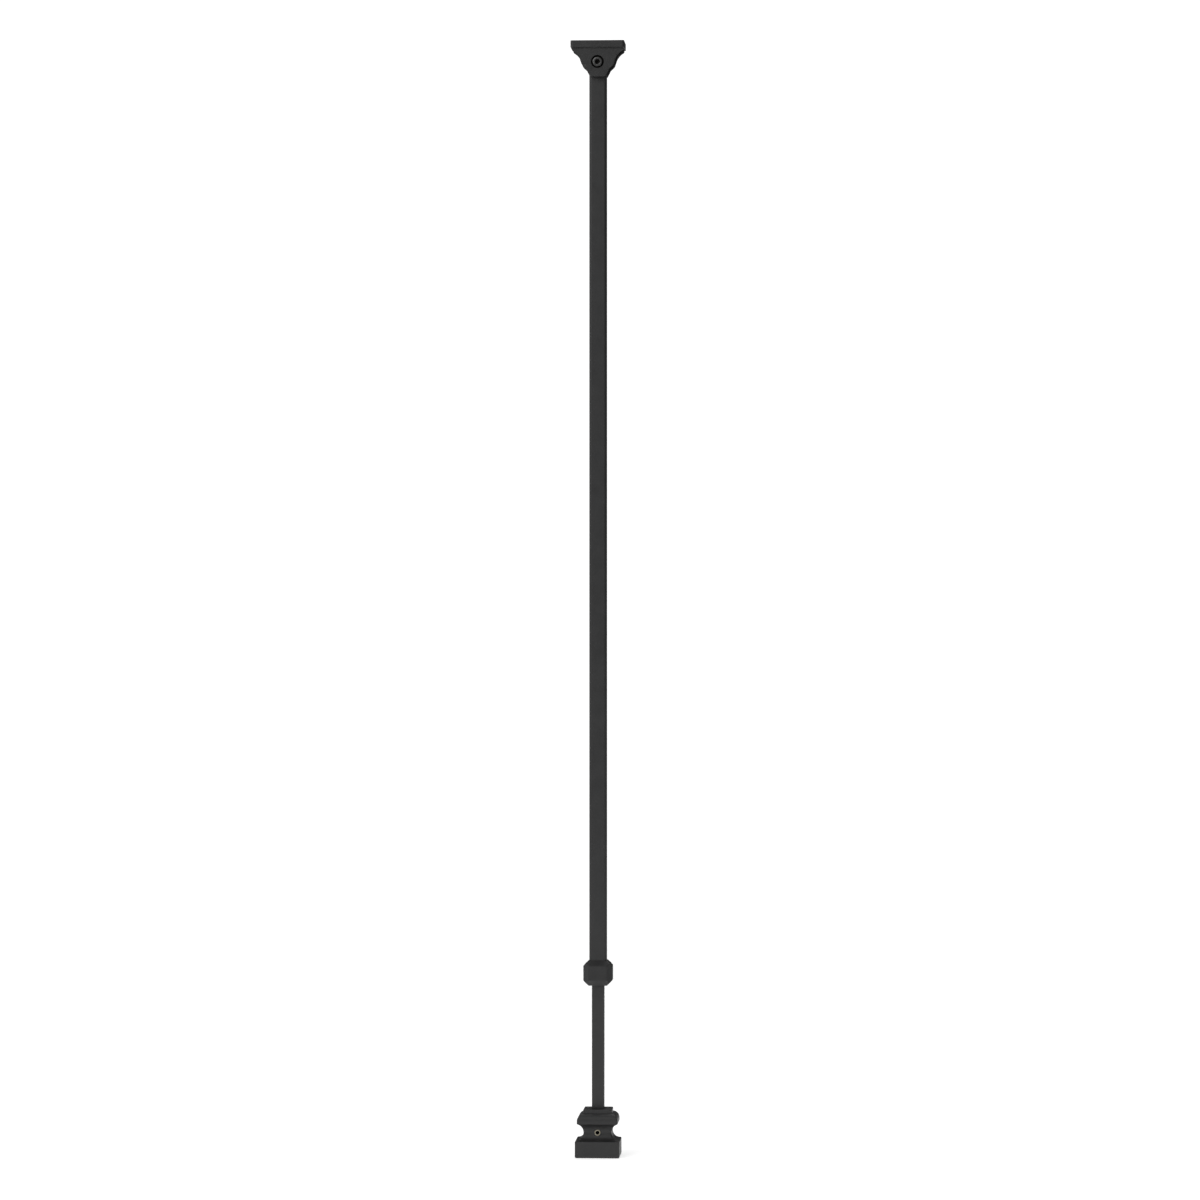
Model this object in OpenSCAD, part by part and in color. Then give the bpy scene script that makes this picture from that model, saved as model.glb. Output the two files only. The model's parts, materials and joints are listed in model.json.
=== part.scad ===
// Telescopic square bar that stands between a stair tread and a handrail.
// An ogee base shoe holds the lower rod, a tube slides on the rod, a chamfered knuckle locks the two,
// and a pivoting top shoe screws to the underside of the rail.
// The frame: origin at the centre of the base shoe's underside, +Z up the bar, the front is -Y.

/* [Bar] */
// Overall height at the setting that is drawn
overall_h = 825; // [780:1:900]
// Width of the square upper tube
tube_w = 12.7; // [12:0.1:14]
// Wall of the upper tube
tube_wall = 1.2; // [1:0.1:1.5]
// Corner radius of the upper tube
tube_corner_r = 1.8; // [1.3:0.1:2]
// Width of the square lower rod
rod_w = 9; // [8:0.1:9]
// Corner radius of the lower rod
rod_corner_r = 0.6; // [0.4:0.1:1]
// Length of the lower rod
rod_l = 330; // [300:5:400]
// Length of rod that shows between the base shoe and the knuckle
rod_shown = 91.1; // [91.1:0.1:110]

/* [Base shoe] */
// Width of the plinth, square in plan
plinth_w = 33; // [32:0.5:36]
// Height of the plinth
plinth_h = 12.4; // [11:0.1:13]
// Width of the neck between the two mouldings
neck_w = 20.8; // [20:0.1:22]
// Width of the round-shouldered upper moulding
bulge_w = 30.2; // [29:0.1:31]
// Width of the small cap around the rod
cap_w = 21.2; // [20:0.1:22]
// Overall height of the base shoe
shoe_h = 35.4; // [35:0.1:36.5]

/* [Knuckle] */
// Width of the knuckle, square in plan
knuckle_w = 21.4; // [21:0.1:23]
// Height of the knuckle
knuckle_h = 18.6; // [18:0.1:20]
// Chamfer on every edge of the knuckle
knuckle_chamfer = 3.9; // [3:0.1:4]

/* [Top shoe] */
// Width of the rail flange, across the swing
flange_w = 39.7; // [39:0.1:42]
// Depth of the rail flange, front to back
flange_d = 27.5; // [27:0.5:33]
// Thickness of the rail flange
flange_t = 5; // [4.5:0.1:5]
// Depth over the two cheeks, front to back
cheeks_d = 24; // [24:0.5:26]
// Depth of the shoe below the flange's top face
top_shoe_h = 26.4; // [26.2:0.1:27]
// Distance of the pivot below the flange's top face
pivot_drop = 15.6; // [15.3:0.1:15.8]
// Distance between the two rail screws
rail_screw_pitch = 25; // [24:0.5:26]

/* [Hidden] */
$fn = 64;

// Fits: a sliding gap on each side, and a spare length that makes a cut pass through a face
gap = 0.05;
through = 1;

// Heights of the main stations
knuckle_z = shoe_h + rod_shown;
knuckle_lip_h = 2.2;
tube_z = knuckle_z + knuckle_lip_h;
pivot_z = overall_h - pivot_drop;
tube_above_pivot = 7;
tube_top_z = pivot_z + tube_above_pivot;
rod_z = 1;
rod_top_z = rod_z + rod_l;

// Tube and rod
tube_bore_w = tube_w - 2 * tube_wall;
tube_bore_r = tube_corner_r - tube_wall;
stud_hole_r = 2.5;
stud_hole_depth = 16;
stud_lead_r = 3.2;

// Base shoe outline
edge_round = 1;
plinth_edge = 0.7;
neck_z = 18.3;
bulge_z = 24.9;
bulge_side_h = 2.1;
bulge_round_r = 5.7;
cap_z = 32.3;
cap_round = 0.6;
underside_w = 24;
underside_depth = 7;
arc_steps = 10;

// M5 socket set screws
set_screw_r = 2.5;
set_screw_point_r = 1.6;
set_screw_key = 2.5;
set_screw_key_depth = 2.6;
base_screw_l = 6;
base_screw_z = neck_z;
knuckle_screw_l = 5;

// Nylon parts
bush_l = 17;
glide_l = 16;
glide_cap_h = 2;

// Pivot hardware, M4
screw_r = 2;
screw_hole_r = 2.1;
sleeve_r = 3;
slot_w = 13.9;
head_r = 3.5;
head_h = 2.8;
head_key = 3;
head_key_depth = 1.8;
counterbore_r = 4.8;
counterbore_depth = 3.2;
nut_w = 7;
nut_h = 3.2;
nut_pocket_gap = 0.05;
nut_recess = 0.1;
washer_r = 5.5;
washer_t = 0.5;
plug_l = 20;

// Top shoe outline
flange_corner_cut = 1;
flange_lip = 1;
rail_screw_r = 2.1;
rail_countersink_r = 4;

// Points along an arc of a circle, in steps of equal angle
function arc(cx, cy, r, from, to, steps = arc_steps) = [
    for (i = [0 : steps])
        let (a = from + (to - from) * i / steps)
        [cx + r * cos(a), cy + r * sin(a)]
];

// Radius of the circle that leaves a wall at a right angle and passes a point run along and rise up
function arc_radius(run, rise) = (run * run + rise * rise) / (2 * run);

// An arc of radius r from one point to another that hollows the shape on its left
function arc_between(from, to, r) =
    let (
        middle = (from + to) / 2,
        half = norm(to - from) / 2,
        along = (to - from) / (2 * half),
        centre = middle + [along[1], -along[0]] * sqrt(r * r - half * half),
        first = atan2(from[1] - centre[1], from[0] - centre[0]),
        last = atan2(to[1] - centre[1], to[0] - centre[0])
    )
    arc(centre[0], centre[1], r, first, last);

// An outline's right-hand side, with its mirror image on the left
function both_sides(pts) = concat(
    pts,
    [for (i = [len(pts) - 1 : -1 : 0]) [-pts[i][0], pts[i][1]]]
);

// A square with round corners, centred
module rounded_square(w, r) {
    square([w - 2 * r, w], center = true);
    square([w, w - 2 * r], center = true);
    for (x = [-1, 1], y = [-1, 1])
        translate([x * (w / 2 - r), y * (w / 2 - r)])
            circle(r);
}

// A square bar with round edges, standing on z
module square_bar(w, r, z, h) {
    translate([0, 0, z])
        linear_extrude(h)
            rounded_square(w, r);
}

// A square hole's cutter with sharp corners
module square_cut(w, z, h) {
    translate([-w / 2, -w / 2, z])
        cube([w, w, h]);
}

// A cylinder along +Y from y, on the X-Z centre given
module rod_y(r, y, l, z = 0, x = 0) {
    translate([x, y, z])
        rotate([-90, 0, 0])
            cylinder(r = r, h = l);
}

// A hexagonal prism along +Y, af across its flats
module hex_y(af, y, l, z = 0) {
    translate([0, y, z])
        rotate([-90, 0, 0])
            cylinder(r = af / sqrt(3), h = l, $fn = 6);
}

// The moulding that all four sides of the base shoe share, as a right-hand outline from the foot up
function shoe_outline() =
    let (
        plinth = plinth_w / 2,
        neck = neck_w / 2,
        bulge = bulge_w / 2,
        cap = cap_w / 2,
        low_r = arc_radius(plinth - plinth_edge - neck, neck_z - plinth_h),
        low_end = asin((neck_z - plinth_h) / low_r),
        high_r = arc_radius(bulge - neck, bulge_z - neck_z),
        high_end = asin((bulge_z - neck_z) / high_r),
        round_z = bulge_z + bulge_side_h,
        round_end = asin((cap_z - round_z) / bulge_round_r)
    )
    concat(
        [[plinth - edge_round, 0], [plinth, edge_round], [plinth, plinth_h - plinth_edge]],
        arc(neck + low_r, neck_z, low_r, 180 + low_end, 180),
        arc(neck + high_r, neck_z, high_r, 180 - high_end / arc_steps, 180 - high_end),
        arc(bulge - bulge_round_r, round_z, bulge_round_r, 0, round_end),
        [[cap, cap_z], [cap, shoe_h - cap_round], [cap - cap_round, shoe_h]]
    );

// One moulding, drawn through the shoe from side to side
module shoe_moulding() {
    rotate([90, 0, 0])
        translate([0, 0, -plinth_w])
            linear_extrude(2 * plinth_w)
                polygon(both_sides(shoe_outline()));
}

module base_shoe() {
    color("#2f2f2f")
    difference() {
        intersection() {
            shoe_moulding();
            rotate([0, 0, 90])
                shoe_moulding();
        }
        square_cut(rod_w + 2 * gap, -through, shoe_h + 2 * through);
        square_cut(underside_w, -through, underside_depth + through);
        rod_y(set_screw_r + gap, -plinth_w, plinth_w - rod_w / 2, base_screw_z);
    }
}

// A socket set screw along +Y: its driven end at y = 0, its point at y = l
module set_screw(l) {
    point_h = set_screw_r - set_screw_point_r;
    difference() {
        rotate([-90, 0, 0])
            rotate_extrude()
                polygon([
                    [0, 0], [set_screw_r, 0], [set_screw_r, l - point_h],
                    [set_screw_point_r, l], [0, l]
                ]);
        hex_y(set_screw_key, -through, set_screw_key_depth + through);
    }
}

module base_set_screw() {
    color("#8d8a80")
    translate([0, -rod_w / 2 - gap - base_screw_l, base_screw_z])
        set_screw(base_screw_l);
}

module lower_rod() {
    color("#303030")
    difference() {
        square_bar(rod_w, rod_corner_r, rod_z, rod_l);
        translate([0, 0, rod_z - through])
            cylinder(r = stud_hole_r, h = stud_hole_depth + through);
        translate([0, 0, rod_z])
            cylinder(r1 = stud_lead_r, r2 = stud_hole_r, h = stud_lead_r - stud_hole_r);
    }
}

// Nylon cap on the top end of the rod, which keeps it from rattling in the tube
module rod_glide() {
    color("ivory")
    difference() {
        square_bar(tube_bore_w - 2 * gap, tube_bore_r, rod_top_z + glide_cap_h - glide_l, glide_l);
        square_bar(rod_w, rod_corner_r, rod_top_z - glide_l, glide_l);
    }
}

module upper_tube() {
    screw_z = knuckle_z + knuckle_h / 2;
    color("#333333")
    difference() {
        square_bar(tube_w, tube_corner_r, tube_z, tube_top_z - tube_z);
        square_bar(tube_bore_w, tube_bore_r, tube_z - through, tube_top_z - tube_z + 2 * through);
        rod_y(set_screw_r + gap, 0, tube_w, screw_z);
        rod_y(sleeve_r + gap, -tube_w, 2 * tube_w, pivot_z);
    }
}

// A square with its corners cut at 45 degrees
module chamfered_square(w, h, c) {
    polygon([
        [w / 2, h / 2 - c], [w / 2 - c, h / 2], [c - w / 2, h / 2], [-w / 2, h / 2 - c],
        [-w / 2, c - h / 2], [c - w / 2, -h / 2], [w / 2 - c, -h / 2], [w / 2, c - h / 2]
    ]);
}

// A square block with a chamfer on all twelve edges, centred
module chamfered_block(w, h, c) {
    intersection() {
        linear_extrude(2 * h, center = true)
            chamfered_square(w, w, c);
        rotate([90, 0, 0])
            linear_extrude(2 * w, center = true)
                chamfered_square(w, h, c);
        rotate([90, 0, 90])
            linear_extrude(2 * w, center = true)
                chamfered_square(w, h, c);
    }
}

module knuckle() {
    color("#383838")
    difference() {
        translate([0, 0, knuckle_z + knuckle_h / 2])
            chamfered_block(knuckle_w, knuckle_h, knuckle_chamfer);
        square_bar(tube_w, tube_corner_r, tube_z, knuckle_h);
        square_cut(rod_w + 2 * gap, knuckle_z - through, knuckle_h);
        rod_y(set_screw_r + gap, 0, knuckle_w, knuckle_z + knuckle_h / 2);
    }
}

// Nylon liner in the mouth of the tube, which centres the rod
module knuckle_bush() {
    color("ivory")
    difference() {
        square_bar(tube_bore_w, tube_bore_r, tube_z, bush_l);
        square_cut(rod_w + 2 * gap, tube_z - through, bush_l + 2 * through);
        rod_y(set_screw_r + gap, 0, tube_w, knuckle_z + knuckle_h / 2);
    }
}

// It is turned to enter the knuckle from the back and press on the rod
module knuckle_set_screw() {
    color("#3a3a3a")
    translate([0, rod_w / 2 + gap + knuckle_screw_l, knuckle_z + knuckle_h / 2])
        rotate([0, 0, 180])
            set_screw(knuckle_screw_l);
}

// Steel block pressed into the top of the tube, which carries the pivot sleeve
module tube_end_plug() {
    color("silver")
    difference() {
        square_bar(tube_bore_w, tube_bore_r, tube_top_z - plug_l, plug_l);
        rod_y(sleeve_r + gap, -tube_w, 2 * tube_w, pivot_z);
    }
}

// The cheeks' outline below the flange, as a right-hand outline from the foot up.
// Heights are below the flange's top face: round toe, shelf, upper slope, cove, then the end of the flange.
function cheek_outline() =
    let (
        toe_r = 4.2,
        toe_x = 3,
        toe_end = 66,
        shelf = [[8.1, -21.6], [8.8, -20.1], [11.3, -17.8], [12, -16.7]],
        cove_foot = [13.5, -12.2],
        cove_head = [flange_w / 2 - flange_lip, -6.6],
        cove_r = 12.7
    )
    concat(
        arc(toe_x, -top_shoe_h + toe_r, toe_r, -90, -90 + toe_end),
        shelf,
        arc_between(cove_foot, cove_head, cove_r),
        [[flange_w / 2 - flange_lip, -flange_t + through]]
    );

module top_shoe() {
    color("#2f2f2f")
    difference() {
        translate([0, 0, overall_h]) {
            translate([0, 0, -flange_t])
                linear_extrude(flange_t)
                    difference() {
                        square([flange_w, flange_d], center = true);
                        for (x = [-1, 1], y = [-1, 1])
                            translate([x * flange_w / 2, y * flange_d / 2])
                                rotate([0, 0, 45])
                                    square(flange_corner_cut * sqrt(2), center = true);
                    }
            rotate([90, 0, 0])
                linear_extrude(cheeks_d, center = true)
                    polygon(both_sides(cheek_outline()));
        }
        translate([-flange_w, -slot_w / 2, overall_h - flange_t - 2 * top_shoe_h])
            cube([2 * flange_w, slot_w, 2 * top_shoe_h]);
        rod_y(screw_hole_r, -cheeks_d, 2 * cheeks_d, pivot_z);
        rod_y(counterbore_r, -cheeks_d, cheeks_d / 2 + counterbore_depth, pivot_z);
        hex_y(nut_w + 2 * nut_pocket_gap, cheeks_d / 2 - nut_h - nut_recess, cheeks_d, pivot_z);
        for (x = [-1, 1])
            translate([x * rail_screw_pitch / 2, 0, overall_h - flange_t]) {
                translate([0, 0, -through])
                    cylinder(r = rail_screw_r, h = flange_t + 2 * through);
                cylinder(r1 = rail_countersink_r, r2 = rail_screw_r, h = rail_countersink_r - rail_screw_r);
            }
    }
}

// Steel spacer that the screw clamps between the cheeks, and that the bar turns on
module pivot_sleeve() {
    color("gainsboro")
    difference() {
        rod_y(sleeve_r, -slot_w / 2, slot_w, pivot_z);
        rod_y(screw_hole_r, -slot_w, 2 * slot_w, pivot_z);
    }
}

module friction_washers() {
    color("ivory")
    for (side = [-1, 1])
        difference() {
            rod_y(washer_r, side * (slot_w / 2 - gap - washer_t / 2) - washer_t / 2, washer_t, pivot_z);
            rod_y(sleeve_r + gap, -slot_w, 2 * slot_w, pivot_z);
        }
}

// Low-head socket cap screw, driven from the front
module pivot_screw() {
    seat_y = -cheeks_d / 2 + counterbore_depth;
    shank_l = cheeks_d - counterbore_depth - nut_recess;
    color("#3a3a3a")
    difference() {
        union() {
            rod_y(head_r, seat_y - head_h, head_h, pivot_z);
            rod_y(screw_r, seat_y - head_h / 2, shank_l + head_h / 2, pivot_z);
        }
        hex_y(head_key, seat_y - head_h - through, head_key_depth + through, pivot_z);
    }
}

module pivot_nut() {
    nut_y = cheeks_d / 2 - nut_h - nut_recess;
    color("silver")
    difference() {
        hex_y(nut_w, nut_y, nut_h, pivot_z);
        rod_y(screw_r + gap, nut_y - through, nut_h + 2 * through, pivot_z);
    }
}

base_shoe();
base_set_screw();
lower_rod();
rod_glide();
upper_tube();
knuckle();
knuckle_bush();
knuckle_set_screw();
tube_end_plug();
top_shoe();
pivot_sleeve();
friction_washers();
pivot_screw();
pivot_nut();
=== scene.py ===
"""Looks for the telescopic bar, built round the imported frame.

Every piece is modelled in millimetres in the row frame (origin under the base shoe, +Z up, front -Y)
and scaled to metres when it is finished. Each piece replaces its CAD node and rides on that node's body.
"""
import json
import math

import bmesh
import bpy
from mathutils import Matrix, Vector


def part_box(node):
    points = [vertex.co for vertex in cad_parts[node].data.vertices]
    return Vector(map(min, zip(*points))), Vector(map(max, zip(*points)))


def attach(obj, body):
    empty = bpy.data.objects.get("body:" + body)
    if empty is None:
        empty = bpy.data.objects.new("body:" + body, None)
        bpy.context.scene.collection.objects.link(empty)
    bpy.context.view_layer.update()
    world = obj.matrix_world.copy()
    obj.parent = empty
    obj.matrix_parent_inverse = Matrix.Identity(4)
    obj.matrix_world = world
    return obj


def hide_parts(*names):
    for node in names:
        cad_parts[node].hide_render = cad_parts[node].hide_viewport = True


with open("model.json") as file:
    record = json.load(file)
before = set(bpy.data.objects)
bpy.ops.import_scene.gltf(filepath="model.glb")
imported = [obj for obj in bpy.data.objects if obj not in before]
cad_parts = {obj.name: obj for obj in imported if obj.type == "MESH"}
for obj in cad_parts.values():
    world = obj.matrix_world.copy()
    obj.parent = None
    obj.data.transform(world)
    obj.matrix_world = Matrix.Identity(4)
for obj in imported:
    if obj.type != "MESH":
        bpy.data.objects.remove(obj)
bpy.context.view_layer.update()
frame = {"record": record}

MM = 0.001
BODY_OF = {n: b for b, nodes in frame["record"]["behaviour"]["bodies"].items() for n in nodes}

# ---------------------------------------------------------------- sizes from the frame, in millimetres


def node_box(node):
    """Lowest and highest corner of a CAD node, in millimetres."""
    low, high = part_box(node)
    return low / MM, high / MM


SHOE_LOW, SHOE_HIGH = node_box("base_shoe")
ROD_LOW, ROD_HIGH = node_box("lower_rod")
TUBE_LOW, TUBE_HIGH = node_box("upper_tube")
KNUCKLE_LOW, KNUCKLE_HIGH = node_box("knuckle")
BUSH_LOW, BUSH_HIGH = node_box("knuckle_bush")
GLIDE_LOW, GLIDE_HIGH = node_box("rod_glide")
PLUG_LOW, PLUG_HIGH = node_box("tube_end_plug")
TOP_LOW, TOP_HIGH = node_box("top_shoe")
SLEEVE_LOW, SLEEVE_HIGH = node_box("pivot_sleeve")
WASHER_LOW, WASHER_HIGH = node_box("friction_washers")
PIVOT_LOW, PIVOT_HIGH = node_box("pivot_screw")
NUT_LOW, NUT_HIGH = node_box("pivot_nut")
BASE_SCREW_LOW, BASE_SCREW_HIGH = node_box("base_set_screw")
KNUCKLE_SCREW_LOW, KNUCKLE_SCREW_HIGH = node_box("knuckle_set_screw")

ROD = ROD_HIGH.x
ROD_CORNER = 0.6
TUBE = TUBE_HIGH.x
TUBE_CORNER = 1.8
TUBE_BORE = BUSH_HIGH.x
GAP = 0.05
PIVOT_Z = (SLEEVE_LOW.z + SLEEVE_HIGH.z) / 2
SLEEVE_R = SLEEVE_HIGH.x
SLOT = SLEEVE_HIGH.y
SCREW_HOLE_R = 2.1
NEAR_ZERO = 1e-6

# ---------------------------------------------------------------- outlines


def arc(cx, cy, r, start, end, steps=12):
    """Points along an arc, angles in degrees."""
    angles = [math.radians(start + (end - start) * i / steps) for i in range(steps + 1)]
    return [(cx + r * math.cos(a), cy + r * math.sin(a)) for a in angles]


def arc_radius(run, rise):
    """Radius of the circle that leaves a wall at a right angle and passes a point run along and rise up."""
    return (run * run + rise * rise) / (2 * run)


def with_fillets(points, steps=4, closed=True):
    """An outline whose corners are rounded: each point is (x, y) or (x, y, radius)."""
    made = []
    count = len(points)
    for i, point in enumerate(points):
        here = Vector(point[:2])
        radius = point[2] if len(point) > 2 else 0
        if radius == 0 or (not closed and i in (0, count - 1)):
            made.append(tuple(here))
            continue
        to_last = (Vector(points[i - 1][:2]) - here).normalized()
        to_next = (Vector(points[(i + 1) % count][:2]) - here).normalized()
        half_turn = math.acos(max(-1, min(1, to_last.dot(to_next)))) / 2
        reach = radius / math.tan(half_turn)
        centre = here + (to_last + to_next).normalized() * radius / math.sin(half_turn)
        begin = here + to_last * reach - centre
        end = here + to_next * reach - centre
        for k in range(steps + 1):
            share = k / steps
            made.append(tuple(centre + begin.slerp(end, share) * radius))
    return made


def square_ring(half, z, corner, chamfer=0, corner_steps=5, side_steps=4):
    """Points round a square at height z, its corners cut by a chamfer and rounded."""
    corner = min(corner, half * 0.98)
    trim = max(chamfer, (2 - math.sqrt(2)) * corner)
    inner = half - trim + corner - corner * math.sqrt(2)
    quarter = arc(half - corner, inner, corner, 0, 45, corner_steps)
    quarter += arc(inner, half - corner, corner, 45, 90, corner_steps)
    gap = 2 * quarter[-1][0]
    quarter += [(quarter[-1][0] - gap * k / side_steps, half) for k in range(1, side_steps)]
    ring = []
    for turn in range(4):
        c, s = ((1, 0), (0, 1), (-1, 0), (0, -1))[turn]
        ring += [Vector((x * c - y * s, x * s + y * c, z)) for x, y in quarter]
    return ring


# ---------------------------------------------------------------- mesh tools


def bridge(bm, rings, closed=False, cap=False):
    """Joins rings of points into a skin. A closed path joins the last ring to the first."""
    loops = [[bm.verts.new(p) for p in ring] for ring in rings]
    pairs = list(zip(loops, loops[1:]))
    if closed:
        pairs.append((loops[-1], loops[0]))
    for low, high in pairs:
        for i in range(len(low)):
            j = (i + 1) % len(low)
            bm.faces.new((low[i], low[j], high[j], high[i]))
    if cap:
        bm.faces.new(list(reversed(loops[0])))
        bm.faces.new(loops[-1])
    return bm


def square_revolve(path):
    """A closed solid whose section follows path round a square.

    Each point of the path is (half width, z, corner, chamfer).
    """
    bm = bmesh.new()
    bridge(bm, [square_ring(*point) for point in path], closed=True)
    return bm


def square_bar(path):
    """A solid square bar, capped at both ends."""
    bm = bmesh.new()
    bridge(bm, [square_ring(*point) for point in path], cap=True)
    return bm


def round_ring(r, y, z0, segments):
    """Points round the Y axis line at height z0."""
    turns = [2 * math.pi * i / segments for i in range(segments)]
    return [Vector((r * math.cos(a), y, z0 + r * math.sin(a))) for a in turns]


def hex_ring(across_flats, y, z0, per_side):
    """Points round a hexagon, as many on each side."""
    corner = across_flats / math.sqrt(3)
    corners = [Vector((corner * math.cos(a), y, z0 + corner * math.sin(a)))
               for a in (math.pi / 3 * k for k in range(6))]
    return [corners[k].lerp(corners[(k + 1) % 6], i / per_side) for k in range(6) for i in range(per_side)]


def prism(outline, y_low, y_high):
    """An outline in X and Z, pushed from y_low to y_high."""
    bm = bmesh.new()
    rings = [[Vector((x, y, z)) for x, z in outline] for y in (y_low, y_high)]
    return bridge(bm, rings, cap=True)


def cylinder_y(r, y_low, y_high, z=PIVOT_Z, segments=64):
    """A plain cylinder along Y, used as a cutter."""
    bm = bmesh.new()
    bridge(bm, [round_ring(r, y, z, segments) for y in (y_low, y_high)], cap=True)
    return bm


def cone_z(radii, heights, x, segments=48):
    """A turned solid along Z, used as a cutter."""
    bm = bmesh.new()
    turns = [2 * math.pi * i / segments for i in range(segments)]
    levels = zip(radii, heights)
    rings = [[Vector((x + r * math.cos(a), r * math.sin(a), z)) for a in turns] for r, z in levels]
    return bridge(bm, rings, cap=True)


def box(low, high):
    """A block between two corners, used as a cutter."""
    bm = bmesh.new()
    bmesh.ops.create_cube(bm, size=1)
    low, high = Vector(low), Vector(high)
    size = high - low
    placed = Matrix.Translation((low + high) / 2) @ Matrix.Diagonal((*size, 1))
    bmesh.ops.transform(bm, matrix=placed, verts=bm.verts)
    return bm


def as_object(name, bm):
    """The mesh as a linked object, still in millimetres."""
    bmesh.ops.remove_doubles(bm, verts=bm.verts, dist=NEAR_ZERO)
    bmesh.ops.recalc_face_normals(bm, faces=bm.faces)
    mesh = bpy.data.meshes.new(name)
    bm.to_mesh(mesh)
    bm.free()
    obj = bpy.data.objects.new(name, mesh)
    bpy.context.scene.collection.objects.link(obj)
    return obj


def apply_modifiers(obj):
    """Bakes an object's modifiers into its mesh."""
    depsgraph = bpy.context.evaluated_depsgraph_get()
    mesh = bpy.data.meshes.new_from_object(obj.evaluated_get(depsgraph))
    old = obj.data
    obj.modifiers.clear()
    obj.data = mesh
    mesh.name = obj.name
    bpy.data.meshes.remove(old)


def combine(obj, bm, operation):
    """A boolean of an object with a throwaway solid."""
    tool = as_object("tool", bm)
    step = obj.modifiers.new("combine", "BOOLEAN")
    step.operation = operation
    step.solver = "EXACT"
    step.object = tool
    apply_modifiers(obj)
    bpy.data.objects.remove(tool)
    return obj


def cut(obj, bm):
    """Takes a throwaway solid out of an object."""
    return combine(obj, bm, "DIFFERENCE")


def flatten_faces(obj):
    """Joins faces that lie in one plane, so that a bevel sees only real edges."""
    bm = bmesh.new()
    bm.from_mesh(obj.data)
    bmesh.ops.remove_doubles(bm, verts=bm.verts, dist=0.002)
    bmesh.ops.dissolve_limit(bm, angle_limit=math.radians(0.5), verts=bm.verts, edges=bm.edges)
    bm.to_mesh(obj.data)
    bm.free()


def round_edges(obj, width, segments=3, angle=30):
    """Rounds every edge sharper than the angle, in degrees."""
    flatten_faces(obj)
    step = obj.modifiers.new("round", "BEVEL")
    step.width = width
    step.segments = segments
    step.limit_method = "ANGLE"
    step.angle_limit = math.radians(angle)
    step.use_clamp_overlap = True
    step.miter_outer = "MITER_ARC"
    apply_modifiers(obj)


def shade(obj, angle=28):
    """Smooth shading, with edges sharper than the angle, in degrees, kept crisp."""
    bm = bmesh.new()
    bm.from_mesh(obj.data)
    limit = math.radians(angle)
    for face in bm.faces:
        face.smooth = True
    for edge in bm.edges:
        edge.smooth = len(edge.link_faces) == 2 and edge.calc_face_angle(0) < limit
    bm.to_mesh(obj.data)
    bm.free()


def finish_piece(obj, node, material, angle=28, pit=None, in_pit=None):
    """Scales a piece to metres, shades it, and lets it stand for its CAD node.

    The faces whose centre meets the in_pit test, in millimetres, take the pit material, a near-black
    painted shade for recesses.
    """
    if pit:
        for face in obj.data.polygons:
            face.material_index = int(in_pit(face.center))
    obj.data.transform(Matrix.Scale(MM, 4))
    shade(obj, angle)
    weighted = obj.modifiers.new("normals", "WEIGHTED_NORMAL")
    weighted.keep_sharp = True
    marks = [face.material_index for face in obj.data.polygons]
    obj.data.materials.clear()
    for each in (material, pit) if pit else (material,):
        obj.data.materials.append(each)
    if pit:
        obj.data.polygons.foreach_set("material_index", marks)
    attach(obj, BODY_OF[node])
    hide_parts(node)
    return obj


# ---------------------------------------------------------------- materials


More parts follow.
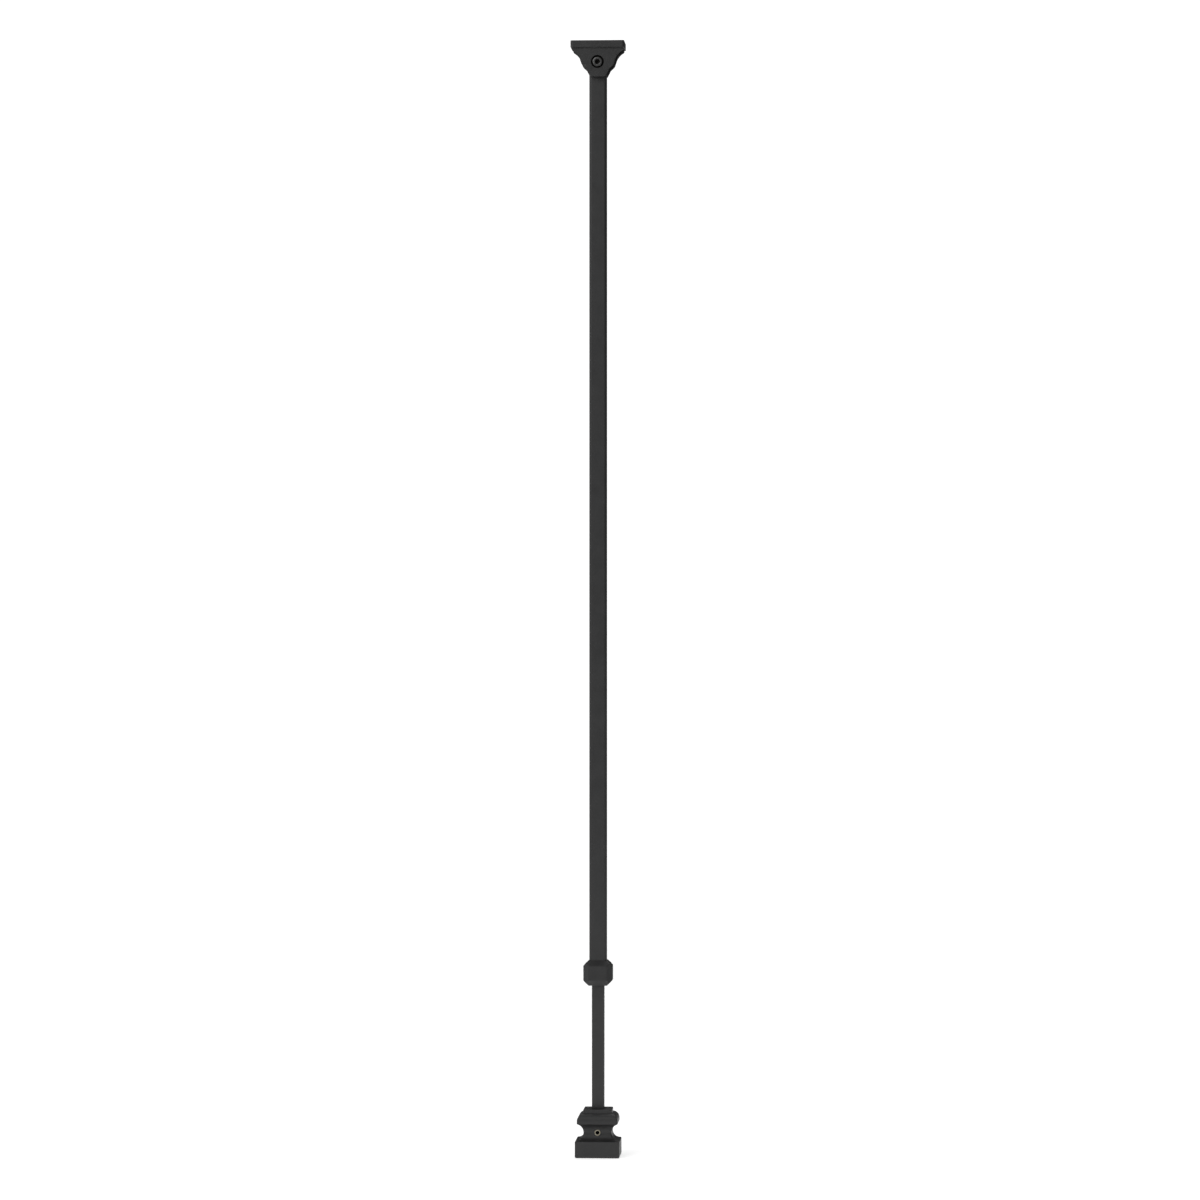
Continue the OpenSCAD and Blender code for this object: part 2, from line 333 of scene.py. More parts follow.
class Shader:
    """A small wrapper that places and joins shader nodes."""

    def __init__(self, name):
        self.material = bpy.data.materials.new(name)
        self.material.use_nodes = True
        self.nodes = self.material.node_tree.nodes
        self.links = self.material.node_tree.links
        self.bsdf = self.nodes["Principled BSDF"]
        self.coords = self.nodes.new("ShaderNodeTexCoord").outputs["Object"]

    def set(self, **values):
        """Constant values on the shader's own sockets; underscores stand for spaces."""
        for key, value in values.items():
            self.bsdf.inputs[key.replace("_", " ")].default_value = value

    def stretched(self, scale):
        """Object coordinates scaled along each axis."""
        mapping = self.nodes.new("ShaderNodeMapping")
        mapping.inputs["Scale"].default_value = scale
        self.links.new(self.coords, mapping.inputs["Vector"])
        return mapping.outputs["Vector"]

    def noise(self, size, detail=4, roughness=0.5, stretch=(1, 1, 1)):
        """Noise whose largest features are size millimetres across."""
        texture = self.nodes.new("ShaderNodeTexNoise")
        texture.inputs["Scale"].default_value = 1 / (size * MM)
        texture.inputs["Detail"].default_value = detail
        texture.inputs["Roughness"].default_value = roughness
        self.links.new(self.stretched(stretch), texture.inputs["Vector"])
        return texture.outputs["Fac"]

    def edges(self, low, high):
        """Near 1 on outward edges and 0 elsewhere."""
        geometry = self.nodes.new("ShaderNodeNewGeometry")
        return self.spread(geometry.outputs["Pointiness"], low, high, 0, 1)

    def spread(self, value, low, high, to_low, to_high):
        """Maps low..high to to_low..to_high, clamped."""
        remap = self.nodes.new("ShaderNodeMapRange")
        self.links.new(value, remap.inputs["Value"])
        for key, number in (("From Min", low), ("From Max", high), ("To Min", to_low), ("To Max", to_high)):
            remap.inputs[key].default_value = number
        return remap.outputs["Result"]

    def math(self, operation, a, b):
        """One sum of two values, each a number or a socket."""
        node = self.nodes.new("ShaderNodeMath")
        node.operation = operation
        for socket, value in zip(node.inputs, (a, b)):
            if isinstance(value, (int, float)):
                socket.default_value = value
            else:
                self.links.new(value, socket)
        return node.outputs["Value"]

    def colours(self, factor, first, second):
        """A blend between two linear colours."""
        mix = self.nodes.new("ShaderNodeMix")
        mix.data_type = "RGBA"
        if isinstance(first, tuple):
            mix.inputs[6].default_value = (*first, 1)
        else:
            self.links.new(first, mix.inputs[6])
        mix.inputs[7].default_value = (*second, 1)
        self.links.new(factor, mix.inputs[0])
        return mix.outputs[2]

    def base(self, colour):
        """Feeds the base colour."""
        self.links.new(colour, self.bsdf.inputs["Base Color"])

    def roughness(self, value):
        """Feeds the roughness."""
        self.links.new(value, self.bsdf.inputs["Roughness"])

    def bumps(self, layers):
        """Stacks bump layers, each (height socket, depth in millimetres)."""
        normal = None
        for height, depth in layers:
            bump = self.nodes.new("ShaderNodeBump")
            bump.inputs["Strength"].default_value = 1
            bump.inputs["Distance"].default_value = depth * MM
            self.links.new(height, bump.inputs["Height"])
            if normal:
                self.links.new(normal, bump.inputs["Normal"])
            normal = bump.outputs["Normal"]
        self.links.new(normal, self.bsdf.inputs["Normal"])


def powder_coat(name, dark, light, peel_depth, grain_depth):
    """Satin black powder coat: fine grain, orange peel, faint clouds, and paler arrises, partly edge wear
    and partly a painted highlight.
    """
    s = Shader(name)
    clouds = s.noise(9, detail=3)
    grain = s.noise(0.35, detail=3, roughness=0.6)
    peel = s.noise(1.6, detail=2)
    mixed = s.math("ADD", s.math("MULTIPLY", clouds, 0.6), s.math("MULTIPLY", grain, 0.4))
    colour = s.colours(s.spread(mixed, 0.35, 0.65, 0, 1), dark, light)
    # Paler arrises: patchy edge wear mixed with a painted highlight along every outward edge.
    wear_and_edge_highlight = s.math("MULTIPLY", s.edges(0.52, 0.62), s.spread(s.noise(2.2, detail=5), 0.42, 0.6, 0.15, 1))
    s.base(s.colours(s.math("MULTIPLY", wear_and_edge_highlight, 0.5), colour, tuple(3.2 * c for c in light)))
    s.roughness(s.spread(s.math("ADD", s.math("MULTIPLY", grain, 0.5), s.math("MULTIPLY", clouds, 0.5)),
                         0.3, 0.7, 0.4, 0.56))
    s.bumps([(peel, peel_depth), (grain, grain_depth)])
    return s.material


def metal(name, dark, light, rough_low, rough_high, stretch=(1, 1, 1), depth=0.004):
    """Bare or plated steel with tool marks along the stretched direction."""
    s = Shader(name)
    s.set(Metallic=1.0)
    marks = s.noise(0.5, detail=4, stretch=stretch)
    stain = s.noise(1.8, detail=4)
    s.base(s.colours(s.spread(stain, 0.35, 0.68, 0, 1), dark, light))
    s.roughness(s.spread(s.math("ADD", s.math("MULTIPLY", marks, 0.6), s.math("MULTIPLY", stain, 0.4)),
                         0.3, 0.7, rough_low, rough_high))
    s.bumps([(marks, depth)])
    return s.material


def nylon(name):
    """Milky moulded nylon."""
    s = Shader(name)
    s.set(Subsurface_Weight=0.25, Subsurface_Scale=0.002, IOR=1.53)
    s.bsdf.inputs["Subsurface Radius"].default_value = (1, 0.8, 0.6)
    mottle = s.noise(2.5, detail=3)
    fine = s.noise(0.3, detail=2)
    s.base(s.colours(s.spread(mottle, 0.3, 0.7, 0, 1), (0.70, 0.68, 0.61), (0.80, 0.78, 0.72)))
    s.roughness(s.spread(fine, 0.3, 0.7, 0.38, 0.55))
    s.bumps([(fine, 0.008)])
    return s.material


CAST = powder_coat("cast_powder_coat", (0.0125, 0.0125, 0.0128), (0.0185, 0.0185, 0.0188), 0.07, 0.035)
BAR = powder_coat("bar_powder_coat", (0.017, 0.017, 0.0173), (0.022, 0.022, 0.0223), 0.03, 0.015)
ZINC = metal("yellowed_zinc", (0.28, 0.255, 0.195), (0.44, 0.41, 0.33), 0.32, 0.5)
OXIDE = metal("black_oxide", (0.075, 0.075, 0.075), (0.14, 0.14, 0.137), 0.32, 0.48)
STEEL = metal("turned_steel", (0.48, 0.48, 0.49), (0.62, 0.62, 0.63), 0.22, 0.4, stretch=(0.1, 1, 1))
NYLON = nylon("milky_nylon")
# Painted shade: a near-black material laid on the faces inside hex sockets and the pivot counterbore, where
# shade falls.
PAINTED_RECESS_SHADE = metal("painted_recess_shade", (0.008, 0.008, 0.008), (0.024, 0.022, 0.02), 0.5, 0.7)

# ---------------------------------------------------------------- base shoe

SHOE_H = SHOE_HIGH.z
PLINTH = SHOE_HIGH.x
PLINTH_H = 12.4
NECK = 10.4
NECK_Z = (BASE_SCREW_LOW.z + BASE_SCREW_HIGH.z) / 2
BULGE = 15.1
BULGE_Z = 24.9
BULGE_SIDE_H = 2.1
BULGE_ROUND = 5.7
CAP = 10.6
CAP_Z = 32.3
UNDERSIDE = 12
UNDERSIDE_DEPTH = 7
PLINTH_EDGE = 0.7
SET_SCREW_R = 2.5


def shoe_moulding():
    """The base shoe's outer profile from the foot up, as (half width, z)."""
    low_run = PLINTH - PLINTH_EDGE - NECK
    low_r = arc_radius(low_run, NECK_Z - PLINTH_H)
    low_end = math.degrees(math.asin((NECK_Z - PLINTH_H) / low_r))
    high_r = arc_radius(BULGE - NECK, BULGE_Z - NECK_Z)
    high_end = math.degrees(math.asin((BULGE_Z - NECK_Z) / high_r))
    round_z = BULGE_Z + BULGE_SIDE_H
    round_end = math.degrees(math.asin((CAP_Z - round_z) / BULGE_ROUND))
    foot = with_fillets([(PLINTH - 2, 0), (PLINTH, 0, 1.1), (PLINTH, 3)], closed=False)
    edge = [(PLINTH, 10), (PLINTH, PLINTH_H - 0.1, 0.75), (PLINTH - PLINTH_EDGE - 0.6, PLINTH_H)]
    edge = with_fillets(edge, closed=False)[1:-1]
    cove = arc(NECK + low_r, NECK_Z, low_r, 180 + low_end * 0.97, 180, 14)
    cove += arc(NECK + high_r, NECK_Z, high_r, 180 - high_end / 14, 180 - high_end * 0.97, 13)
    lip = with_fillets([cove[-1], (BULGE, BULGE_Z, 0.45), (BULGE, round_z)], closed=False)[1:]
    shoulder = arc(BULGE - BULGE_ROUND, round_z, BULGE_ROUND, round_end / 14, round_end, 13)
    cap = [shoulder[-1], (CAP, CAP_Z, 0.3), (CAP, SHOE_H, 0.6), (ROD + 0.6, SHOE_H)]
    cap = with_fillets(cap, closed=False)[1:]
    return foot + [(PLINTH, 6)] + edge + cove + lip + shoulder + cap


def base_shoe():
    """A hollow-footed ogee casting round the rod."""
    hole = ROD + GAP
    outer = [(half, z, 0.9, 0) for half, z in shoe_moulding()]
    inner = [
        (hole + 0.3, SHOE_H, 0.35, 0), (hole, SHOE_H - 0.3, 0.3, 0),
        (hole, UNDERSIDE_DEPTH + 0.3, 0.3, 0), (hole + 0.3, UNDERSIDE_DEPTH, 0.35, 0),
        (UNDERSIDE - 0.6, UNDERSIDE_DEPTH, 1.0, 0), (UNDERSIDE, UNDERSIDE_DEPTH - 0.6, 1.2, 0),
        (UNDERSIDE, 0.4, 1.2, 0), (UNDERSIDE + 0.4, 0, 1.3, 0),
    ]
    obj = as_object("base_shoe_casting", square_revolve(outer + inner))
    cut(obj, cylinder_y(SET_SCREW_R + GAP, -PLINTH - 1, -ROD / 2, z=NECK_Z))
    return finish_piece(obj, "base_shoe", CAST)


# ---------------------------------------------------------------- fasteners

THREAD_SEGMENTS = 48
SOCKET_LEAD_IN = 0.16
SCREW_BREAK = 0.35
SCREW_POINT = 0.9


def thread_rings(core, crest, pitch, y_low, y_high, z0, end_taper=0.6, per_pitch=10):
    """Rings whose radius follows a helix, easing to the core at both ends."""
    rings = []
    count = max(2, round((y_high - y_low) / pitch * per_pitch))
    for k in range(count + 1):
        y = y_low + (y_high - y_low) * k / count
        ease = min(1, min(y - y_low, y_high - y) / end_taper)
        ring = []
        for i in range(THREAD_SEGMENTS):
            share = i / THREAD_SEGMENTS
            phase = (y / pitch + share) % 1
            tooth = 1 - abs(2 * phase - 1)
            tooth = min(1, max(0, 1.35 * tooth - 0.15))
            r = core + (crest - core) * tooth * ease
            a = 2 * math.pi * share
            ring.append(Vector((r * math.cos(a), y, z0 + r * math.sin(a))))
        rings.append(ring)
    return rings


def socket_rings(rim, face_y, depth, across_flats, lead, z0, inward):
    """Rings from a screw's driven face down into its hex socket, whose mouth has the radius lead."""
    per_side = THREAD_SEGMENTS // 6
    return [
        round_ring(rim, face_y, z0, THREAD_SEGMENTS),
        round_ring(lead, face_y, z0, THREAD_SEGMENTS),
        hex_ring(across_flats, face_y + inward * SOCKET_LEAD_IN, z0, per_side),
        hex_ring(across_flats, face_y + inward * depth, z0, per_side),
        round_ring(0.6, face_y + inward * (depth + 0.45), z0, THREAD_SEGMENTS),
    ]


def set_screw(name, node, low, high, front, material):
    """A socket set screw along Y. Its socket is at low.y on the front and at high.y on the back."""
    z0 = (low.z + high.z) / 2
    r = high.x
    face, point = (low.y, high.y) if front else (high.y, low.y)
    inward = 1 if front else -1
    at_low, at_high = (SCREW_BREAK, SCREW_POINT) if front else (SCREW_POINT, SCREW_BREAK)
    y_low, y_high = low.y + at_low, high.y - at_high
    body = thread_rings(r - 0.42, r, 0.8, y_low, y_high, z0)
    if not front:
        body.reverse()
    rings = list(reversed(socket_rings(r - 0.4, face, 2.6, 2.5, 1.5, z0, inward))) + body
    cup = ((1.6, point), (0.9, point - inward * 0.3))
    rings += [round_ring(cup_r, y, z0, THREAD_SEGMENTS) for cup_r, y in cup]
    bm = bmesh.new()
    bridge(bm, rings, cap=True)

    # Painted shade: the faces inside the hex socket take the near-black recess material.
    def in_socket(centre):
        return math.hypot(centre.x, centre.z - z0) < 1.49 and (centre.y - face) * inward > 0.05

    return finish_piece(as_object(name, bm), node, material, 30, PAINTED_RECESS_SHADE, in_socket)


def pivot_screw():
    """Low-head socket cap screw, threaded at its far end."""
    z0 = PIVOT_Z
    face = PIVOT_LOW.y
    seat = face + 2.8
    tip = PIVOT_HIGH.y
    head = PIVOT_HIGH.x
    shank = 2
    thread_from = tip - 9
    rings = list(reversed(socket_rings(head - 0.4, face, 1.8, 3, 1.95, z0, 1)))
    rings += [round_ring(r, y, z0, THREAD_SEGMENTS) for r, y in (
        (head - 0.12, face + 0.1), (head, face + 0.42), (head, seat - 0.2), (head - 0.2, seat),
        (shank + 0.08, seat), (shank, seat + 0.08), (shank, thread_from - 0.3))]
    rings += thread_rings(shank - 0.32, shank, 0.7, thread_from, tip - 0.5, z0)
    rings += [round_ring(shank - 0.6, tip, z0, THREAD_SEGMENTS)]
    bm = bmesh.new()
    bridge(bm, rings, cap=True)

    # Painted shade: the faces inside the hex socket take the near-black recess material.
    def in_socket(centre):
        return math.hypot(centre.x, centre.z - z0) < 1.9 and face + 0.05 < centre.y < seat

    return finish_piece(as_object("pivot_screw_low_head", bm), "pivot_screw", OXIDE, 30, PAINTED_RECESS_SHADE, in_socket)


def pivot_nut():
    """Hex nut with turned-off corners and a lead-in at each end of its bore."""
    z0 = PIVOT_Z
    y_low, y_high = NUT_LOW.y, NUT_HIGH.y
    flats = NUT_HIGH.z - NUT_LOW.z
    outline = hex_ring(flats, y_low, z0, 8)
    bm = bmesh.new()
    bridge(bm, [outline, [p + Vector((0, y_high - y_low, 0)) for p in outline]], cap=True)
    obj = as_object("pivot_nut_hex", bm)
    corner = flats / math.sqrt(3)
    bm = bmesh.new()
    profile = [(flats / 2 - 0.1, y_low), (corner + 0.02, y_low + 0.55), (corner + 0.02, y_high - 0.55),
               (flats / 2 - 0.1, y_high)]
    bridge(bm, [round_ring(r, y, z0, 96) for r, y in profile], cap=True)
    combine(obj, bm, "INTERSECT")
    bm = bmesh.new()
    bore = 2.05
    mouth = bore + 0.5
    bore_path = [(mouth, y_low - 0.1), (bore, y_low + 0.45), (bore, y_high - 0.45), (mouth, y_high + 0.1)]
    bridge(bm, [round_ring(r, y, z0, 48) for r, y in bore_path], cap=True)
    cut(obj, bm)
    return finish_piece(obj, "pivot_nut", STEEL)


# ---------------------------------------------------------------- rod, tube and their nylon parts


BAND = 8
KNUCKLE_SCREW_Z = (KNUCKLE_SCREW_LOW.z + KNUCKLE_SCREW_HIGH.z) / 2


def locking_screw_hole(obj, far):
    """Drills a piece of the upper bar for the locking screw, from inside the wall out to y = far."""
    cut(obj, cylinder_y(SET_SCREW_R + GAP, 1, far, z=KNUCKLE_SCREW_Z))


def bands(low, high):
    """Evenly spaced heights from low to high, about one BAND apart."""
    count = max(1, round((high - low) / BAND))
    return [low + (high - low) * k / count for k in range(count + 1)]


def lower_rod():
    """Solid rod with broken end edges and a tapped hole in its foot."""
    ease = 0.35
    low, high = ROD_LOW.z, ROD_HIGH.z
    path = [(ROD - ease, low, ROD_CORNER, 0)]
    path += [(ROD, z, ROD_CORNER, 0) for z in bands(low + ease, high - ease)]
    path += [(ROD - ease, high, ROD_CORNER, 0)]
    obj = as_object("lower_rod_bar", square_bar(path))
    core, crest, pitch, depth = 2.5, 2.95, 1, 16
    rings = thread_rings(core, crest, pitch, 0.2, depth, 0)
    turned = [[Vector((p.x, -p.z, low + p.y)) for p in ring] for ring in rings]
    mouth = [[Vector((p.x * 3.2 / p.xy.length, p.y * 3.2 / p.xy.length, low - 0.2)) for p in turned[0]]]
    bottom = [[Vector((p.x * 0.1, p.y * 0.1, low + depth + 1.2)) for p in turned[-1]]]
    bm = bmesh.new()
    bridge(bm, mouth + turned + bottom, cap=True)
    cut(obj, bm)
    return finish_piece(obj, "lower_rod", BAR, angle=40)


def square_sleeve(low, high, outer, outer_corner, inner, inner_corner, ease):
    """Path of a square tube with eased ends."""
    return [
        (outer - ease, low, outer_corner, 0),
        *((outer, z, outer_corner, 0) for z in bands(low + ease, high - ease)),
        (outer - ease, high, outer_corner, 0),
        (inner + ease, high, inner_corner, 0), (inner, high - ease, inner_corner, 0),
        (inner, low + ease, inner_corner, 0), (inner + ease, low, inner_corner, 0),
    ]


def upper_tube():
    """The long square tube, cross-drilled for the pivot and for the locking screw."""
    path = square_sleeve(TUBE_LOW.z, TUBE_HIGH.z, TUBE, TUBE_CORNER, TUBE_BORE, 0.6, 0.2)
    obj = as_object("upper_tube_shell", square_revolve(path))
    cut(obj, cylinder_y(SLEEVE_R + GAP, -TUBE - 1, TUBE + 1))
    locking_screw_hole(obj, TUBE + 1)
    return finish_piece(obj, "upper_tube", BAR)


def knuckle_bush():
    """Nylon liner, drilled for the locking screw."""
    path = square_sleeve(BUSH_LOW.z, BUSH_HIGH.z, TUBE_BORE, 0.6, ROD + GAP, 0.3, 0.12)
    obj = as_object("knuckle_bush_liner", square_revolve(path))
    locking_screw_hole(obj, TUBE + 1)
    return finish_piece(obj, "knuckle_bush", NYLON)


def rod_glide():
    """Nylon cap over the rod's top end."""
    outer = GLIDE_HIGH.x
    low, high = GLIDE_LOW.z, GLIDE_HIGH.z
    roof = ROD_HIGH.z
    bm = bmesh.new()
    path = [(0.5, roof, 0.3, 0), (ROD, roof, ROD_CORNER, 0), (ROD, low + 0.2, ROD_CORNER, 0),
            (ROD + 0.2, low, ROD_CORNER, 0), (outer - 0.2, low, 0.6, 0), (outer, low + 0.2, 0.6, 0),
            (outer, high - 0.6, 0.6, 0), (outer - 0.6, high, 0.6, 0)]
    bridge(bm, [square_ring(*point) for point in path], cap=True)
    return finish_piece(as_object("rod_glide_cap", bm), "rod_glide", NYLON)


def tube_end_plug():
    """Steel block in the top of the tube, cross-bored for the sleeve."""
    low, high = PLUG_LOW.z, PLUG_HIGH.z
    ease = 0.4
    path = [(TUBE_BORE - ease, low, 0.6, 0), (TUBE_BORE, low + ease, 0.6, 0),
            (TUBE_BORE, high - ease, 0.6, 0), (TUBE_BORE - ease, high, 0.6, 0)]
    obj = as_object("tube_end_plug_block", square_bar(path))
    cut(obj, cylinder_y(SLEEVE_R + GAP, -TUBE - 1, TUBE + 1))
    return finish_piece(obj, "tube_end_plug", STEEL)


# ---------------------------------------------------------------- knuckle

KNUCKLE_CHAMFER = 3.9
KNUCKLE_EDGE = 0.7


def knuckle():
    """Square casting, chamfered on all its edges, over the mouth of the tube."""
    low, high = KNUCKLE_LOW.z, KNUCKLE_HIGH.z
    half = KNUCKLE_HIGH.x
    flat = half - KNUCKLE_CHAMFER
    outer = with_fillets([
        (ROD + 1, low), (flat, low, KNUCKLE_EDGE), (half, low + KNUCKLE_CHAMFER, KNUCKLE_EDGE),
        (half, high - KNUCKLE_CHAMFER, KNUCKLE_EDGE), (flat, high, KNUCKLE_EDGE * 0.6), (TUBE + 0.1, high),
    ], closed=False)
    steep = []
    for (h0, z0), (h1, z1) in zip(outer, outer[1:]):
        parts = max(1, round(math.hypot(h1 - h0, z1 - z0) / 0.7))
        steep += [(h0 + (h1 - h0) * k / parts, z0 + (z1 - z0) * k / parts) for k in range(parts)]
    skin = [(h, z, 0.75, max(0, 2 * h - (2 * half - KNUCKLE_CHAMFER))) for h, z in steep[1:]]
    pocket = [
        (TUBE, high - 0.12, TUBE_CORNER, 0), (TUBE, TUBE_LOW.z, TUBE_CORNER, 0),
        (ROD + GAP, TUBE_LOW.z, 0.3, 0), (ROD + GAP, low + 0.4, 0.3, 0), (ROD + GAP + 0.4, low, 0.4, 0),
    ]
    obj = as_object("knuckle_casting", square_revolve(skin + pocket))
    locking_screw_hole(obj, half + 2)
    return finish_piece(obj, "knuckle", CAST)


# ---------------------------------------------------------------- top shoe

FLANGE_T = 5
FLANGE_HALF_D = TOP_HIGH.y
CHEEKS_HALF_D = 12
COUNTERBORE_R = 4.8
COUNTERBORE_DEPTH = 3.2
RAIL_SCREW_X = 12.5
RAIL_SCREW_R = 2.1
COUNTERSINK_R = 4


TOE_R = 4.2
TOE_X = 3
TOE_END = 66
SHELF = ((8.1, -21.6, 0.8), (8.8, -20.1, 0.8), (11.3, -17.8, 0.7), (12, -16.7, 0.7))
COVE_FOOT = (13.5, -12.2)
COVE_HEAD_Z = -6.6
COVE_R = 12.7
FLANGE_LIP = 1


def arc_between(start, end, r, steps):
    """An arc from one point to another that hollows the shape on its left."""
    start, end = Vector(start), Vector(end)
    half = (end - start).length / 2
    along = (end - start).normalized()
    centre = (start + end) / 2 + Vector((along.y, -along.x)) * math.sqrt(r * r - half * half)
    first, last = (math.degrees(math.atan2(p.y - centre.y, p.x - centre.x)) for p in (start, end))
    return arc(centre.x, centre.y, r, first, last, steps)


def cheek_outline():
    """Right-hand outline of the cheeks from the foot up, with its mirror image, as (x, z)."""
    top = TOP_HIGH.z
    foot = TOP_LOW.z - top
    half = TOP_HIGH.x - FLANGE_LIP
    toe = arc(TOE_X, foot + TOE_R, TOE_R, -90, -90 + TOE_END, 10)
    cove = arc_between(COVE_FOOT, (half, COVE_HEAD_Z), COVE_R, 12)
    shelf = with_fillets([toe[-1], *SHELF, cove[0]], closed=False)[1:-1]
    head = with_fillets([cove[-2], (half, COVE_HEAD_Z, 0.6), (half, -FLANGE_T + 1)], closed=False)[1:]
    right = [(x, top + z) for x, z in toe + shelf + cove[:-1] + head]
    return right + [(-x, z) for x, z in reversed(right)]


def top_shoe():
    """Flanged casting with two cheeks, cut for the bar, the pivot, its nut and the rail screws."""
    top = TOP_HIGH.z
    half = TOP_HIGH.x
    obj = as_object("top_shoe_casting", prism(cheek_outline(), -CHEEKS_HALF_D, CHEEKS_HALF_D))
    flange = [(half, FLANGE_HALF_D, 1.5), (-half, FLANGE_HALF_D, 1.5), (-half, -FLANGE_HALF_D, 1.5),
              (half, -FLANGE_HALF_D, 1.5)]
    plan = with_fillets(flange)
    bm = bmesh.new()
    bridge(bm, [[Vector((x, y, z)) for x, y in plan] for z in (top - FLANGE_T, top)], cap=True)
    combine(obj, bm, "UNION")
    cut(obj, box((-2 * half, -SLOT, TOP_LOW.z - 5), (2 * half, SLOT, top - FLANGE_T)))
    round_edges(obj, 0.45)
    cut(obj, cylinder_y(SCREW_HOLE_R, -2 * CHEEKS_HALF_D, 2 * CHEEKS_HALF_D))
    cut(obj, cylinder_y(COUNTERBORE_R, -2 * CHEEKS_HALF_D, -CHEEKS_HALF_D + COUNTERBORE_DEPTH))
    bm = bmesh.new()
    flats = NUT_HIGH.z - NUT_LOW.z + 2 * GAP
    bridge(bm, [hex_ring(flats, y, PIVOT_Z, 1) for y in (NUT_LOW.y, 2 * CHEEKS_HALF_D)], cap=True)
    cut(obj, bm)
    for side in (-1, 1):
        radii = (COUNTERSINK_R, COUNTERSINK_R, RAIL_SCREW_R, RAIL_SCREW_R)
        sink = top - FLANGE_T
        heights = (sink - 1, sink, sink + COUNTERSINK_R - RAIL_SCREW_R, top + 1)
        cut(obj, cone_z(radii, heights, x=side * RAIL_SCREW_X))

    # Painted shade: the counterbore's faces take the near-black recess material in place of the casting's
    # coat.
    def in_counterbore(centre):
        inside = math.hypot(centre.x, centre.z - PIVOT_Z) < COUNTERBORE_R
        return inside and -CHEEKS_HALF_D + 0.05 < centre.y < -SLOT - 0.1

    return finish_piece(obj, "top_shoe", CAST, 28, PAINTED_RECESS_SHADE, in_counterbore)


def ring_solid(outer, inner, y_low, y_high, ease):
    """A turned ring round the pivot."""
    path = [(outer - ease, y_low), (outer, y_low + ease), (outer, y_high - ease), (outer - ease, y_high),
            (inner + ease, y_high), (inner, y_high - ease), (inner, y_low + ease), (inner + ease, y_low)]
    bm = bmesh.new()
    bridge(bm, [round_ring(r, y, PIVOT_Z, 64) for r, y in path], closed=True)
    return bm


def pivot_sleeve():
    """Steel spacer that the pivot screw clamps between the cheeks."""
    bm = ring_solid(SLEEVE_R, SCREW_HOLE_R, SLEEVE_LOW.y, SLEEVE_HIGH.y, 0.25)
    return finish_piece(as_object("pivot_sleeve_spacer", bm), "pivot_sleeve", STEEL)


def friction_washers():
    """The pair of nylon washers, one on each side of the tube."""
    r = WASHER_HIGH.x
    thick = 0.5
    bm = ring_solid(r, SLEEVE_R + GAP, WASHER_LOW.y, WASHER_LOW.y + thick, 0.08)
    other = ring_solid(r, SLEEVE_R + GAP, WASHER_HIGH.y - thick, WASHER_HIGH.y, 0.08)
    mesh = bpy.data.meshes.new("washer")
    other.to_mesh(mesh)
    other.free()
    bm.from_mesh(mesh)
    bpy.data.meshes.remove(mesh)
    return finish_piece(as_object("friction_washer_pair", bm), "friction_washers", NYLON)


# ---------------------------------------------------------------- the object

base_shoe()
set_screw("base_set_screw_m5", "base_set_screw", BASE_SCREW_LOW, BASE_SCREW_HIGH, True, ZINC)
lower_rod()
rod_glide()
upper_tube()
knuckle()
knuckle_bush()
set_screw("knuckle_set_screw_m5", "knuckle_set_screw", KNUCKLE_SCREW_LOW, KNUCKLE_SCREW_HIGH, False, OXIDE)
tube_end_plug()
top_shoe()
pivot_sleeve()
friction_washers()
pivot_screw()
pivot_nut()

# ---------------------------------------------------------------- stage, light and camera


# from here on, sizes are in metres

FLOOR_R = 3
FLOOR_FADE = (0.5, 2.2)


def floor_material():
    """Pale matt floor that glows a little, as if lit through, and fades into the backdrop."""
    s = Shader("pale_floor")
    s.set(Emission_Strength=0.6, Roughness=0.9)
    s.bsdf.inputs["Emission Color"].default_value = (1, 1, 1, 1)
    away = s.nodes.new("ShaderNodeVectorMath")
    away.operation = "LENGTH"
    s.links.new(s.coords, away.inputs[0])
    s.links.new(s.spread(away.outputs["Value"], *FLOOR_FADE, 1, 0), s.bsdf.inputs["Alpha"])
    cloud = s.noise(400, detail=2)
    s.base(s.colours(cloud, (0.86, 0.86, 0.86), (0.9, 0.9, 0.9)))
    s.bumps([(s.noise(3, detail=3), 0.02)])
    return s.material


def make_floor():
    """A wide floor disc under the bar."""
    bm = bmesh.new()
    bmesh.ops.create_circle(bm, cap_ends=True, radius=FLOOR_R, segments=96)
    mesh = bpy.data.meshes.new("floor")
    bm.to_mesh(mesh)
    bm.free()
    floor = bpy.data.objects.new("floor", mesh)
    bpy.context.scene.collection.objects.link(floor)
    mesh.materials.append(floor_material())


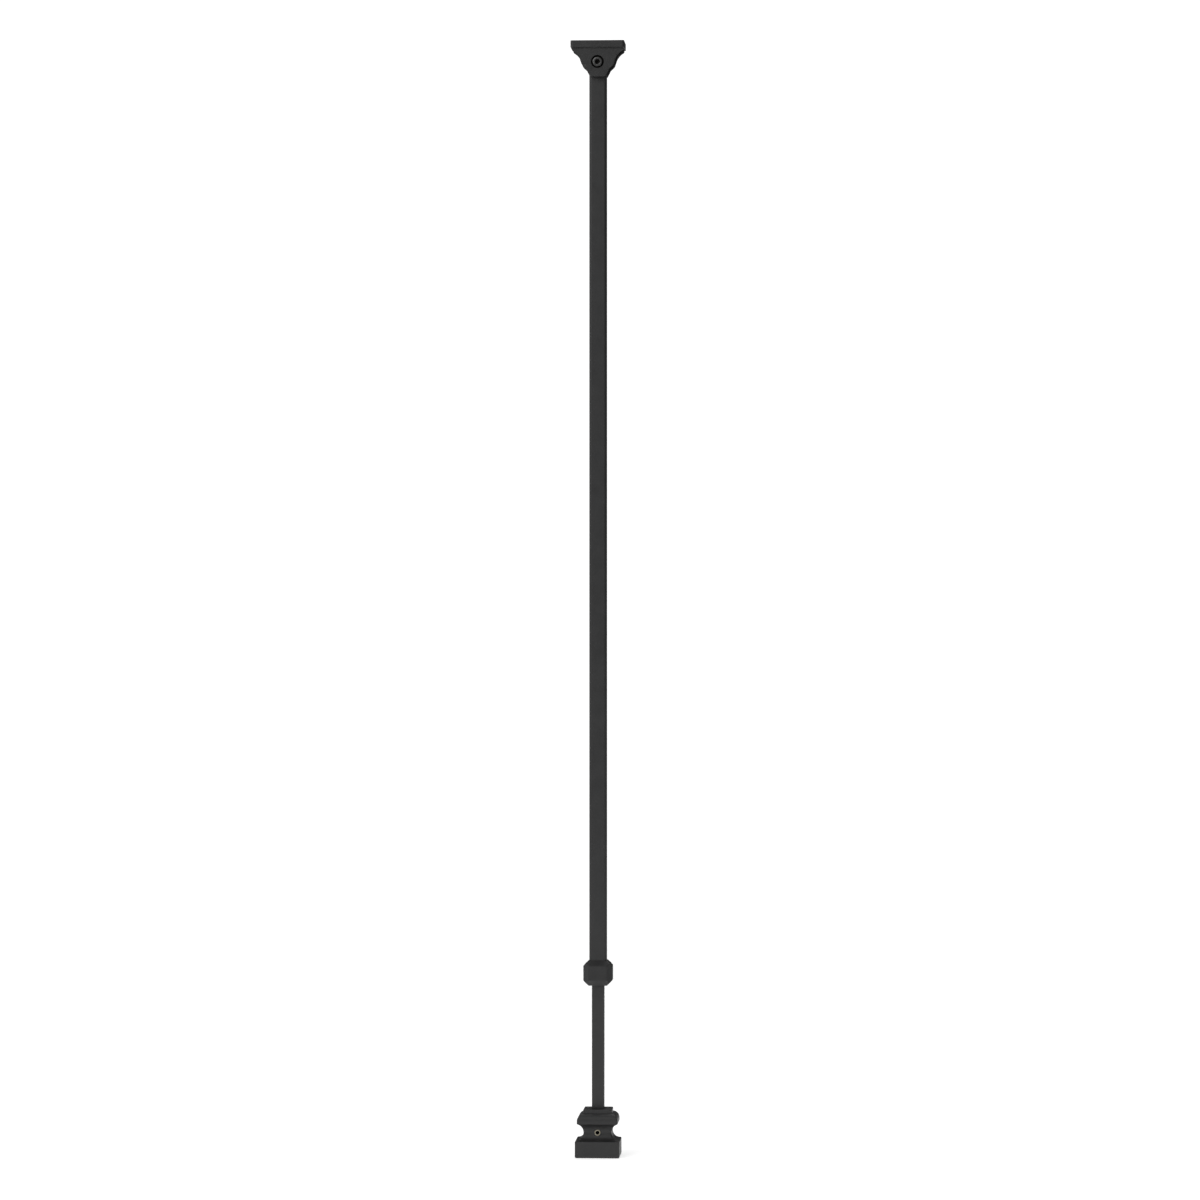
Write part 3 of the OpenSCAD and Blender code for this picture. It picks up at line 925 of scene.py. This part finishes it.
def make_world(seen, dim, bright, lit_from):
    """A white backdrop for the camera, and a soft room that is brighter on one side for everything else."""
    world = bpy.data.worlds.new("studio")
    world.use_nodes = True
    nodes, links = world.node_tree.nodes, world.node_tree.links
    back = nodes["Background"]
    back.inputs["Color"].default_value = (1, 1, 1, 1)
    dot = nodes.new("ShaderNodeVectorMath")
    dot.operation = "DOT_PRODUCT"
    links.new(nodes.new("ShaderNodeTexCoord").outputs["Generated"], dot.inputs[0])
    dot.inputs[1].default_value = Vector(lit_from).normalized()
    room = nodes.new("ShaderNodeMapRange")
    links.new(dot.outputs["Value"], room.inputs["Value"])
    path = nodes.new("ShaderNodeLightPath")
    shown = nodes.new("ShaderNodeMapRange")
    links.new(path.outputs["Is Camera Ray"], shown.inputs["Value"])
    links.new(room.outputs["Result"], shown.inputs["To Min"])
    for node, values in ((room, (-0.6, 0.9, dim, bright)), (shown, (0, 1, None, seen))):
        for key, value in zip(("From Min", "From Max", "To Min", "To Max"), values):
            if value is not None:
                node.inputs[key].default_value = value
    links.new(shown.outputs["Result"], back.inputs["Strength"])
    bpy.context.scene.world = world


def add_softbox(name, azimuth, distance, height, size, power, aim):
    """A square soft light that looks at a height on the bar."""
    data = bpy.data.lights.new(name, "AREA")
    data.shape = "SQUARE"
    data.size = size
    data.energy = power
    light = bpy.data.objects.new(name, data)
    a = math.radians(azimuth)
    light.location = (distance * math.sin(a), -distance * math.cos(a), height)
    towards = light.location - Vector((0, 0, aim))
    light.rotation_euler = towards.to_track_quat("Z", "Y").to_euler()
    bpy.context.scene.collection.objects.link(light)


CAMERA_DISTANCE = 3.3
CAMERA_HEIGHT = 0.4118
CAMERA_AZIMUTH = 3.2
CAMERA_SIDE = 0.0013
VIEW_WIDTH = 0.8892
SENSOR = 36


def make_camera():
    """A long lens at half the bar's height, turned a little to its right-hand side."""
    data = bpy.data.cameras.new("camera")
    data.sensor_width = SENSOR
    data.lens = SENSOR * CAMERA_DISTANCE / VIEW_WIDTH
    data.clip_start, data.clip_end = 0.1, 100
    camera = bpy.data.objects.new("camera", data)
    a = math.radians(CAMERA_AZIMUTH)
    back = Vector((math.sin(a), -math.cos(a), 0))
    side = Vector((math.cos(a), math.sin(a), 0))
    camera.location = back * CAMERA_DISTANCE + side * CAMERA_SIDE + Vector((0, 0, CAMERA_HEIGHT))
    camera.rotation_euler = back.to_track_quat("Z", "Y").to_euler()
    bpy.context.scene.collection.objects.link(camera)
    bpy.context.scene.camera = camera


bpy.context.scene.view_settings.view_transform = "Standard"
make_floor()
make_world(seen=1.1, dim=0.08, bright=0.33, lit_from=(-0.5, -0.8, 0.3))
add_softbox("key", azimuth=-38, distance=1.7, height=1.55, size=1.3, power=19, aim=0.65)
add_softbox("top", azimuth=165, distance=0.9, height=2, size=1.2, power=12, aim=0.4)
make_camera()
